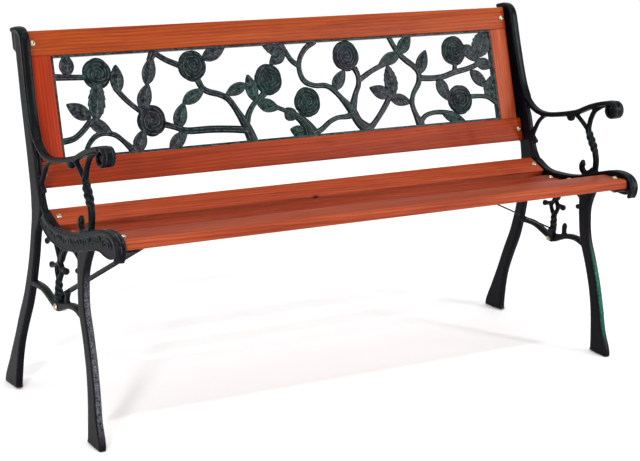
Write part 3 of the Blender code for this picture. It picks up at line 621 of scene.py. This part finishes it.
def scroll(centre, radius, half):
    """The rolled end of a strap, which winds in over the front with a gap between its turns."""
    rings = []
    for share in np.linspace(0, 1, 72):
        angle = math.pi * (0.42 + 3.1 * share)
        way = np.array([math.cos(angle), math.sin(angle)])
        thick = 6.6 - 2.2 * share
        inward = max(0.0, share - 0.3) / 0.7
        reach = radius - thick / 2 - (radius - 8.5) * inward
        rings.append([(*(centre + way * (reach + offset)), depth)
                      for offset, depth in rounded_section(thick, 2 * half * (1 - 0.3 * inward), 2.4, 0.6)])
    core = [(0.1, -half + 4), (4.5, -half + 4), (4.5, half - 4), (0.1, half - 4)]
    return [lofted(rings), turned(centre, core, 20)]


def casting_shapes():
    """The main members of an end frame, which run together as one casting."""
    knob = [(0.1, -6.8), (6.5, -6.8), (9.2, -4.8), (KNOB[2], 0), (9.2, 4.8), (6.5, 6.8), (0.1, 6.8)]
    shapes = [
        sweep(BACK_LEG, -LEG_HALF, LEG_HALF, 4.0),
        sweep(FRONT_LEG, -LEG_HALF, LEG_HALF, 4.0),
        sweep(SEAT_RIM, -SEAT_HALF, SEAT_OUT, 2.6, -0.9),
        sweep(LOOP_BACK, -LOOP_HALF, LOOP_HALF, 3.2, 0.3),
        sweep(SEAT_PLATE, 1.0, PLATE_OUT - 0.8, 2.0),
        sweep(ARM, -ARM_OUT, ARM_OUT, 3.2, 0.3),
        sweep(UPRIGHT_RIM, -UPRIGHT_HALF, UPRIGHT_HALF, 4.2, 0.6),
        sweep(STRETCHER, -STRETCHER_HALF, STRETCHER_HALF, 3.0, 0.3),
        prism(HOOK, -LEG_HALF + 0.9, LEG_HALF - 0.9),
        turned(KNOB[:2], knob, 24),
        ledge(),
        flange(),
    ]
    shapes += [ball((a, b), radius, radius) for a, b, radius in KNOBS]
    shapes += scroll(ARM_SCROLL[:2], ARM_SCROLL[2], ARM_OUT[0])
    for half, curve in ORNAMENTS:
        shapes.append(sweep(curve, -half, half, 0.9 * half, domed=True, steps=6))
    return shapes


def offset_line(rows, share, extra=0.0):
    """The line beside a curve of across, up and width, at a share of its width from the middle."""
    along = np.gradient(rows[:, :2], axis=0)
    along /= np.linalg.norm(along, axis=1, keepdims=True)
    across = np.column_stack([-along[:, 1], along[:, 0]])
    return rows[:, :2] + across * (share * rows[:, 2] + extra)[:, None]


def wave_crest(centre, size, way):
    """A breaking wave in relief: a long crescent that thins to its tail, and a curl inside it."""
    turn = np.linspace(-0.20 * math.pi, 1.05 * math.pi, 26)
    curl = np.linspace(-0.1 * math.pi, 1.35 * math.pi, 16)
    lines = [(size * np.linspace(1.0, 0.85, 26), turn, np.linspace(0.8, 1.9, 26)),
             (size * np.linspace(0.48, 0.25, 16), curl, np.linspace(1.4, 0.9, 16))]
    along = np.array([math.cos(way), math.sin(way)])
    across = np.array([-math.sin(way), math.cos(way)])
    shapes = []
    for reach, turns, radius in lines:
        path = (centre + np.outer(1.6 * reach * np.cos(turns), along)
                + np.outer(reach * np.sin(turns), across))
        shapes.append(tube(np.column_stack([path, np.full(len(turns), PLATE_OUT - 0.4)]), radius, 8, 0.45))
    return shapes


def relief_shapes():
    """Waves and beads on the seat plate, and ridges on the nose, the arm and the upright."""
    plate = smooth(SEAT_PLATE, 8)
    shapes = []
    for share, extra in ((0.5, -1.6), (-0.5, 1.6)):
        line = offset_line(plate, share, extra)
        shapes.append(tube(np.column_stack([line, np.full(len(line), PLATE_OUT - 0.7)]), 1.4, 8, 0.3))
    travel = np.concatenate([[0], np.cumsum(np.linalg.norm(np.diff(plate[:, :2], axis=0), axis=1))])
    for reach in np.arange(34, travel[-1] - 24, 42.0):
        index = int(np.searchsorted(travel, reach))
        along = plate[index + 1, :2] - plate[index - 1, :2]
        shapes += wave_crest(plate[index, :2], 0.30 * min(plate[index, 2], 40),
                             math.atan2(along[1], along[0]))
    nose = offset_line(smooth(SEAT_RIM[1:9], 8), 0.5, -1.5)
    roll = np.linspace(0.45 * math.pi, 1.35 * math.pi, 40)
    roll = ARM_SCROLL[:2] + (ARM_SCROLL[2] - 0.7) * np.column_stack([np.cos(roll), np.sin(roll)])
    top = offset_line(smooth(ARM[1:8], 8), -0.5)
    upright = offset_line(smooth(BACK_LEG[13:18], 8), 0.28)
    # The last number of each ridge is how proud it is, shown lighter as wear of the paint and as a painted
    # highlight.
    ridges = ((nose, (-5.0, 1.5, 8.0), 1.5, 0.6), (roll, (-6.5, 6.5), 1.6, 0.3),
              (top, (0.0,), 0.9, 0.2), (upright, (LEG_HALF - 0.2,), 1.5, 0.2))
    for line, depths, radius, proud in ridges:
        taper = radius * np.sin(np.linspace(0.15, math.pi - 0.15, len(line))) ** 0.5
        for depth in depths:
            shapes.append(tube(np.column_stack([line, np.full(len(line), depth)]), taper, 8, proud))
    return shapes


def within_height(shape):
    """Levels the feet on the ground and the top of the frame."""
    points, faces, proud = shape
    return [(a, min(max(b, FOOT), TOP), c) for a, b, c in points], faces, proud


def cast(body):
    """Runs overlapping shapes together into one skin with soft edges, as a mould leaves them."""
    remesh = body.modifiers.new("skin", "REMESH")
    remesh.mode = "VOXEL"
    remesh.voxel_size = SKIN_CELL
    remesh.use_smooth_shade = True
    soften = body.modifiers.new("soften", "SMOOTH")
    soften.iterations = SKIN_PASSES
    soften.factor = 0.5


def side_frame(side, material):
    sign = SIGN[side]
    place = axes((sign * FRAME_X, -MID_DEPTH, 0), (0, 1, 0), (-sign * LEAN, 0, 1), (sign, 0, 0))
    body = piece(side + "_casting", [within_height(shape) for shape in casting_shapes()], place)
    cast(body)
    body.data.materials.append(material)
    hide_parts(side + "_side_frame")
    twists = (rope([row[:2] for row in POST[1][3:7]], 9.4, 1.4)
              + rope([row[:2] for row in ROPE[1]], 8.4, 1.6))
    for name, shapes in (("twists", twists), ("relief", relief_shapes())):
        trim = piece(f"{side}_{name}", shapes, place)
        trim.data.materials.append(material)


# Rose panel

def leaf(base, tip, width, back=-9.0, edge=-4.4, rib=-1.5):
    """A pointed leaf with a raised border, midrib and side veins. A broad one has a toothed edge."""
    base, tip = np.array(base, float), np.array(tip, float)
    along = tip - base
    length = np.linalg.norm(along)
    side = np.array([-along[1], along[0]]) / length
    stations = np.linspace(0.012, 0.988, 55)
    half_strips = [0.05, 0.11, 0.26, 0.46, 0.66, 0.83, 0.93, 1]
    strips = np.array([-v for v in reversed(half_strips)] + [0] + half_strips)
    veins = round(length / 8.5)
    top, proud = [], []
    for t in stations:
        half = width / 2 * math.sin(math.pi * t**0.85) ** 0.8
        if width >= TOOTHED:
            half *= 0.94 + 0.14 * (1 - (t * 6.0) % 1)
        fullness = math.sin(math.pi * t) ** 0.4
        for v in strips:
            vein = max(0.0, math.cos(2 * math.pi * (veins * t - 1.3 * abs(v)))) ** 4 * (abs(v) < 0.85)
            border = max(0.0, 1 - abs(abs(v) - 0.93) / 0.10)
            midrib = max(0.0, 1 - abs(v) / 0.12)
            ridge = max(0.75 * vein * (1 - 0.5 * abs(v)), 0.8 * border, midrib)
            cup = (rib - 1.4 - edge) * (1 - abs(v) ** 2) * fullness
            top.append((*(base + along * t + side * v * half), edge + cup + 1.5 * ridge * fullness))
            # The ridges of the leaf are proud, shown lighter as wear of the paint and as a painted
            # highlight.
            proud.append(0.16 + 0.84 * ridge**1.5)
    count, wide = len(stations), len(strips)
    faces = [(i * wide + j, i * wide + j + 1, (i + 1) * wide + j + 1, (i + 1) * wide + j)
             for i in range(count - 1) for j in range(wide - 1)]
    border_loop = ([i * wide for i in range(count)] + [(count - 1) * wide + j for j in range(1, wide)]
                   + [i * wide + wide - 1 for i in range(count - 2, -1, -1)]
                   + list(range(wide - 2, 0, -1)))
    first, total = len(top), len(border_loop)
    points = top + [(*top[i][:2], back) for i in border_loop]
    faces += [(border_loop[k], border_loop[(k + 1) % total], first + (k + 1) % total, first + k)
              for k in range(total)]
    faces.append(tuple(range(first, first + total)))
    return points, faces, proud + [0.0] * total


def rose(across, up, radius, back=-10.0, sides=72, steps=46):
    """A rose whose petals wind inward in a spiral. Each petal rises to a lip and drops behind the next."""
    turns = np.arange(sides) * 2 * math.pi / sides
    start = 0.013 * across + 0.02 * up
    outline = radius * (0.955 + 0.045 * np.abs(np.cos(2.5 * (turns + start))) ** 0.7)
    rings = [np.column_stack([0.97 * outline * np.cos(turns), 0.97 * outline * np.sin(turns),
                              np.full(sides, depth)]) for depth in (back, -6.0)]
    proud = [np.zeros(sides), np.zeros(sides)]
    for share in np.linspace(1.0, 0.02, steps):
        wobble = 0.10 * np.sin(3 * turns + 5 * share + start) + 0.06 * np.sin(5 * turns - 3 * start)
        phase = (PETAL_TURNS * share + wobble - turns / (2 * math.pi) + start) % 1
        lip = np.where(phase < 0.86, (phase / 0.86) ** 1.6, (1 - phase) / 0.14)
        lip = lip * min(1.0, 9 * (1.02 - share))
        dome = -4.4 + 4.3 * (1 - share**2) ** 0.8
        height = dome + 3.4 * (lip - 0.80) * (0.5 + 0.5 * share)
        rings.append(np.column_stack([share * outline * np.cos(turns), share * outline * np.sin(turns),
                                      np.minimum(height, 2.2)]))
        # The lips of the petals are proud, shown lighter as wear of the paint and as a painted highlight.
        proud.append(0.10 + 0.90 * np.clip((lip - 0.70) / 0.30, 0, 1))
    return lofted([ring + (across, up, 0) for ring in rings], np.array(proud))


def panel_shapes():
    """The rim, leaves, roses and stems of the panel. Each stem has a thin raised line along both of its
    sides, shown lighter as wear of the paint and a painted highlight.
    """
    low, high = -PANEL_RIM / 2, OPENING_TOP + PANEL_RIM / 2
    edge = OPENING_HALF + PANEL_RIM / 2
    end = OPENING_HALF + PANEL_RIM
    bars = [[(-end, low), (end, low)], [(-end, high), (end, high)], [(-edge, low), (-edge, high)],
            [(edge, low), (edge, high)]]
    shapes = [sweep([(*p, PANEL_RIM) for p in line], -15.0, -1.0, 1.2, steps=1) for line in bars]
    shapes += [leaf(*shape) for shape in LEAVES]
    shapes += [rose(*shape) for shape in ROSES]
    for index, curve in enumerate(STEMS):
        shapes.append(sweep(curve, -8.4, -2.8 - 0.17 * (index % 5), 2.8, 0.3))
        # These thin lines are proud, shown lighter as wear of the paint and as a painted highlight along
        # the stem's edges.
        for share in (-0.22, 0.2):
            line = offset_line(smooth(curve, 4), share)
            shapes.append(tube(np.column_stack([line, np.full(len(line), -3.3)]), 0.85, 6, 0.75))
    return shapes


def rose_panel(material):
    """The panel, with every tip of its ornament kept within the rim."""
    points, faces, proud = joined(panel_shapes())
    half, reach = OPENING_HALF + PANEL_RIM - GAP, PANEL_RIM - GAP
    points = [(max(-half, min(half, a)), max(-reach, min(OPENING_TOP + reach, b)), c)
              for a, b, c in points]
    body = piece("rose_casting", [(points, faces, proud)],
                 axes(BACK_ORIGIN, ALONG, BACK_UP, BACK_OUT), 50)
    body.data.materials.append(material)
    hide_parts("rose_panel")


# Boards

def rounded_board(low, high, thick, radius, nose=0.0):
    """Outline of a board with eased edges. With a nose, its low edge is a wide half round."""
    outline = []
    corners = [(high, 0, 0, radius), (high, -thick, -90, radius), (low, -thick, 180, radius),
               (low, 0, 90, nose or radius)]
    for across, out, start, size in corners:
        centre = (across - size if across == high else across + size,
                  out - size if out == 0 else out + size)
        for degrees in np.linspace(90, 0, 9 if size > radius else 5):
            angle = math.radians(start + degrees)
            outline.append((centre[0] + size * math.cos(angle), centre[1] + size * math.sin(angle)))
    return outline


def board(name, outline, half, place, material):
    body = piece(name + "_board", [prism(outline, -half, half)], place, 50)
    ease = body.modifiers.new("eased ends", "BEVEL")
    ease.width = 0.0012
    ease.segments = 3
    ease.limit_method = "ANGLE"
    ease.angle_limit = math.radians(60)
    body.data.materials.append(material)
    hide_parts(name)


def slats():
    labels = ("front", "2", "3", "4", "back")
    for index, (label, (depth, height, tilt, width, thick)) in enumerate(zip(labels, SLATS)):
        angle = math.radians(tilt)
        across = (0, math.cos(angle), math.sin(angle))
        out = (0, -math.sin(angle), math.cos(angle))
        middle = (0, (depth - MID_DEPTH) * MM, height * MM)
        material = wood("slat_wood_" + label, SLAT_COLOURS[index], 3.1 * index + 1, middle,
                        (angle, 0, 0), KNOT if label == "back" else None)
        outline = rounded_board(-width / 2, width / 2, thick, 2.5, 9.0 if label == "front" else 0.0)
        place = axes((0, depth - MID_DEPTH, height), across, out, ALONG)
        board("seat_slat_" + label, outline, SLAT_HALF, place, material)


def rails():
    rim = PANEL_RIM + GAP
    place = axes(BACK_ORIGIN, BACK_UP, BACK_OUT, ALONG)
    for label, low, high, half in (("top", OPENING_TOP + rim, BACK_TOP, RAIL_HALF),
                                   ("bottom", BACK_BOTTOM, -rim, SLAT_HALF)):
        middle = (BACK_ORIGIN + BACK_UP * (low + high) / 2) * MM
        material = wood(f"rail_wood_{label}", RAIL_COLOURS[label], 0.05 * high, middle,
                        (-BACK_LEAN, 0, 0))
        board(f"backrest_{label}_rail", rounded_board(low, high, RAIL, 2.2), half, place, material)


def stiles():
    """The upright boards at the ends of the panel, with their grain running up them."""
    rim = PANEL_RIM + GAP
    upright = (0, BACK_LEAN - math.pi / 2, math.pi / 2)
    along, up = STILE_MIDDLE
    for side, sign in SIGN.items():
        outline = [(sign * a, c) for a, c in rounded_board(OPENING_HALF + rim, RAIL_HALF, RAIL, 2.2)]
        middle = (BACK_ORIGIN + ALONG * sign * along + BACK_UP * up) * MM
        stile = piece(f"backrest_{side}_stile_board",
                      [prism(outline, -rim + GAP, OPENING_TOP + rim - GAP)],
                      axes(BACK_ORIGIN, ALONG, BACK_OUT, BACK_UP), 50)
        stile.data.materials.append(wood(f"stile_wood_{side}", STILE_COLOURS[side], 2 + sign, middle,
                                         upright))
        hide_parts(f"backrest_{side}_stile")


# Fasteners, and half the width of a nut across its flats

NUT_HALF = 5.0


def spindle(node, longest):
    """The middle of a fastener and the way it points, outward at a bolt's head."""
    points = np.array([node.matrix_world @ v.co for v in node.data.vertices])
    middle = points.mean(axis=0)
    ways = np.linalg.svd(points - middle)[2]
    way = ways[0] if longest else ways[2]
    along = (points - middle) @ way
    spread = np.linalg.norm((points - middle) - along[:, None] * way, axis=1)
    if longest and along[spread.argmax()] < 0:
        way, along = -way, -along
    return Vector(middle + way * along.max()), Vector(way)


def at_spindle(top, way):
    """Axes at the top of a fastener, with depth along it."""
    side = way.orthogonal().normalized()
    return axes(top / MM, side, way.cross(side), way)


def bolt(name, node, material):
    """A domed head with a round socket, on its shank. Depth 0 is the top of the head."""
    top, way = spindle(node, True)
    length = max((top - node.matrix_world @ v.co).dot(way) for v in node.data.vertices) / MM
    shank = [(3.0, -length), (3.0, -3.5)]
    dome = [(6.4, -3.5), (6.6, -3.1), (6.2, -1.9), (5.1, -0.9), (3.7, -0.25), (2.7, 0.0)]
    socket = [(2.5, -0.3), (2.3, -2.2), (0.1, -2.3)]
    body = piece(name + "_fine", [turned((0, 0), shank + dome + socket, 24)], at_spindle(top, way), 40)
    body.data.materials.append(material)
    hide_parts(name)


def nut(name, node, material):
    """A hexagon nut with its corners turned down. A ring with no radius is the hexagon."""
    top, way = spindle(node, False)
    rings = []
    for radius, depth in ((3.3, 0), (4.9, 0), (None, -0.5), (None, -4.5), (4.9, -5), (3.3, -5)):
        ring = []
        for k in range(24):
            turn = 2 * math.pi * k / 24
            flat = NUT_HALF / math.cos((turn + math.pi / 6) % (math.pi / 3) - math.pi / 6)
            size = radius or flat
            ring.append((size * math.cos(turn), size * math.sin(turn), depth))
        rings.append(ring)
    points, faces, proud = lofted(rings + [rings[0]])
    body = piece(name + "_fine", [(points, faces[:-2], proud)], at_spindle(top, way), 30)
    body.data.materials.append(material)
    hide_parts(name)


def fasteners(material):
    for name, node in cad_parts.items():
        if "bolt" in name:
            bolt(name, node, material)
        elif "nut" in name:
            nut(name, node, material)
        elif "screw" in name:
            recoat(node, material)


def recoat(node, material):
    node.data.materials.clear()
    node.data.materials.append(material)


# Stage

def stage():
    """A wide floor of pale paper."""
    floor_mesh = bpy.data.meshes.new("floor")
    reach = 14.0
    corners = [(-reach, -reach, 0), (reach, -reach, 0), (reach, reach, 0), (-reach, reach, 0)]
    floor_mesh.from_pydata(corners, [], [(0, 1, 2, 3)])
    floor = bpy.data.objects.new("floor", floor_mesh)
    bpy.context.scene.collection.objects.link(floor)
    material, _, _, shader = new_material("floor_paper")
    shader.inputs["Base Color"].default_value = (0.86, 0.86, 0.862, 1)
    shader.inputs["Roughness"].default_value = 0.7
    floor_mesh.materials.append(material)


def aimed(name, data, place, target=(0, 0, 0.4)):
    light = bpy.data.objects.new(name, data)
    light.location = place
    light.rotation_euler = (Vector(target) - Vector(place)).to_track_quat("-Z", "Y").to_euler()
    bpy.context.scene.collection.objects.link(light)


def sun(name, place, power, spread):
    data = bpy.data.lights.new(name, "SUN")
    data.energy = power
    data.angle = math.radians(spread)
    aimed(name, data, place)


def softbox(name, place, size, power):
    data = bpy.data.lights.new(name, "AREA")
    data.shape = "RECTANGLE"
    data.size, data.size_y = size
    data.energy = power
    aimed(name, data, place)


def lighting():
    """A white room, soft suns, and narrow lamps that draw bright lines down the iron."""
    world = bpy.data.worlds.new("studio")
    world.use_nodes = True
    background = world.node_tree.nodes["Background"]
    background.inputs["Color"].default_value = (1, 1, 1, 1)
    background.inputs["Strength"].default_value = 0.46
    bpy.context.scene.world = world
    sun("sky", (-0.3, 2.0, 4.4), 1.8, 95)
    sun("front", (-1.6, -4.4, 2.4), 1.15, 110)
    softbox("left_strip", (-3.0, -2.6, 1.6), (0.16, 2.0), 84)
    softbox("right_strip", (2.6, -3.0, 1.5), (0.16, 2.0), 56)
    softbox("top_strip", (0.0, -1.4, 3.0), (2.4, 0.12), 30)
    softbox("right_box", (2.5, -2.0, 1.4), (1.3, 1.3), 28)


def camera():
    data = bpy.data.cameras.new("camera")
    data.sensor_width = 36.0
    data.lens = 102.67
    data.clip_end = 60.0
    view = bpy.data.objects.new("camera", data)
    forward = Vector((0.53527, 0.80306, -0.26188)).normalized()
    right = Vector((0.83810, -0.54356, 0.04620)).normalized()
    up = right.cross(forward)
    place = Vector((-2.0539, -2.8389 - MID_DEPTH * MM, 1.3029))
    view.matrix_world = Matrix([(*right, 0), (*up, 0), (*-forward, 0), (*place, 1)]).transposed()
    bpy.context.scene.collection.objects.link(view)
    bpy.context.scene.camera = view


def main():
    # The last two arguments of iron give the colour and the heights of the painted highlight on the front
    # leg.
    side_frame("left", iron("left_iron", 0.6, (0.15, 0.155, 0.18), (0.01, 0.33)))
    side_frame("right", iron("right_iron", 0.5, (0.012, 0.20, 0.12), (0.03, 0.25)))
    rose_panel(iron("panel_iron", 0.85, (0.03, 0.10, 0.09), (0.4, 0.8)))
    slats()
    rails()
    stiles()
    fasteners(steel("zinc_plate"))
    strap = iron("strap_paint", 0.3, (0.02, 0.02, 0.03), (0.1, 0.3))
    for side in SIGN:
        recoat(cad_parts[side + "_brace"], strap)
    bpy.context.scene.view_settings.view_transform = "Standard"
    stage()
    lighting()
    camera()


main()
